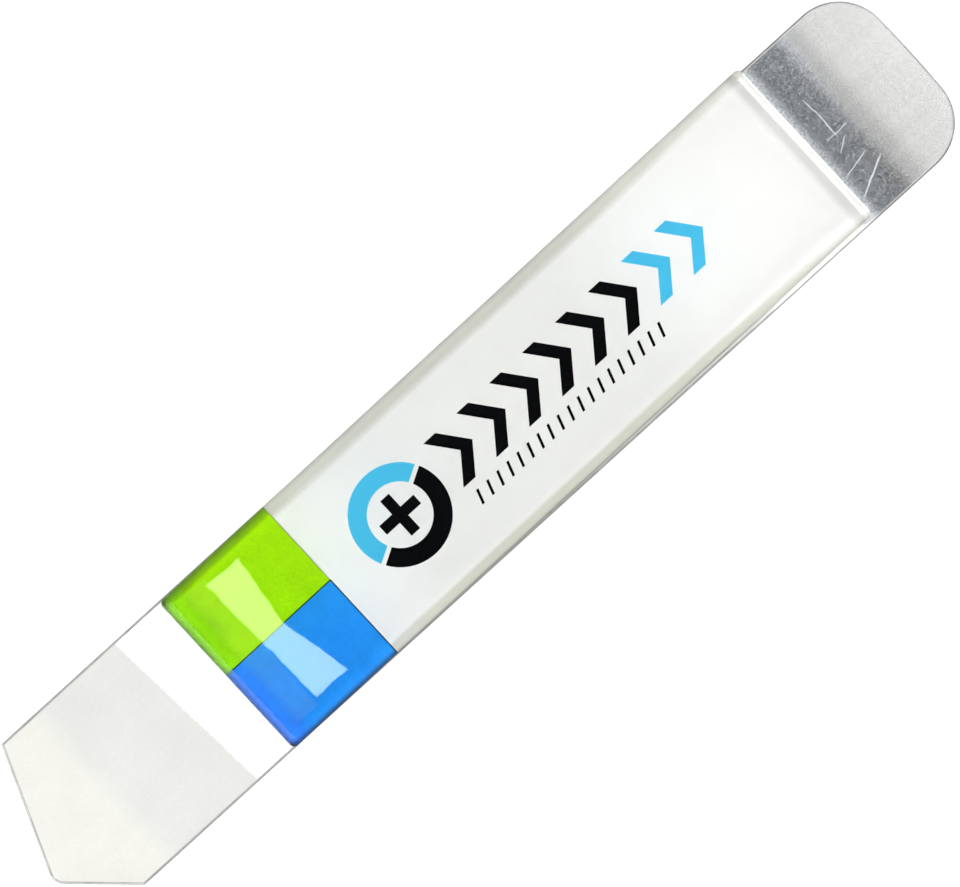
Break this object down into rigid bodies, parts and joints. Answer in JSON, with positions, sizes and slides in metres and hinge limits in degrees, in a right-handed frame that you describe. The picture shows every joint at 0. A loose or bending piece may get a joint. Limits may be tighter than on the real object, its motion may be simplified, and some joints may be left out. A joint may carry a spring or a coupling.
{
  "type": "spudger tool",
  "caption": "Flat double-ended opening tool: thin spring-steel blade with a pointed and a rounded end, gripped by a resin-domed label on each face.",
  "frame": {"origin": "middle of the tool's bounding box in plan, on the plane of the back dome's flat crown, which the tool rests on", "axes": "+X along the blade towards its rounded end, +Y towards the green side of the front label, +Z out of the front face"},
  "size_m": [0.1181, 0.0202, 0.0034],
  "materials": {
    "spring_steel": "satin",
    "adhesive": "matte",
    "white_film": "satin",
    "green_film": "satin",
    "blue_film": "satin",
    "clear_resin": "polished",
    "black_ink": "satin",
    "cyan_ink": "satin"
  },
  "bodies": {
    "root": {"blade": "spring_steel", "front_adhesive_sheet": "adhesive", "front_white_film": "white_film", "front_green_panel": "green_film", "front_blue_panel": "blue_film", "front_resin_dome": "clear_resin", "back_adhesive_sheet": "adhesive", "back_white_film": "white_film", "back_green_panel": "green_film", "back_blue_panel": "blue_film", "back_resin_dome": "clear_resin"}
  },
  "joints": []
}
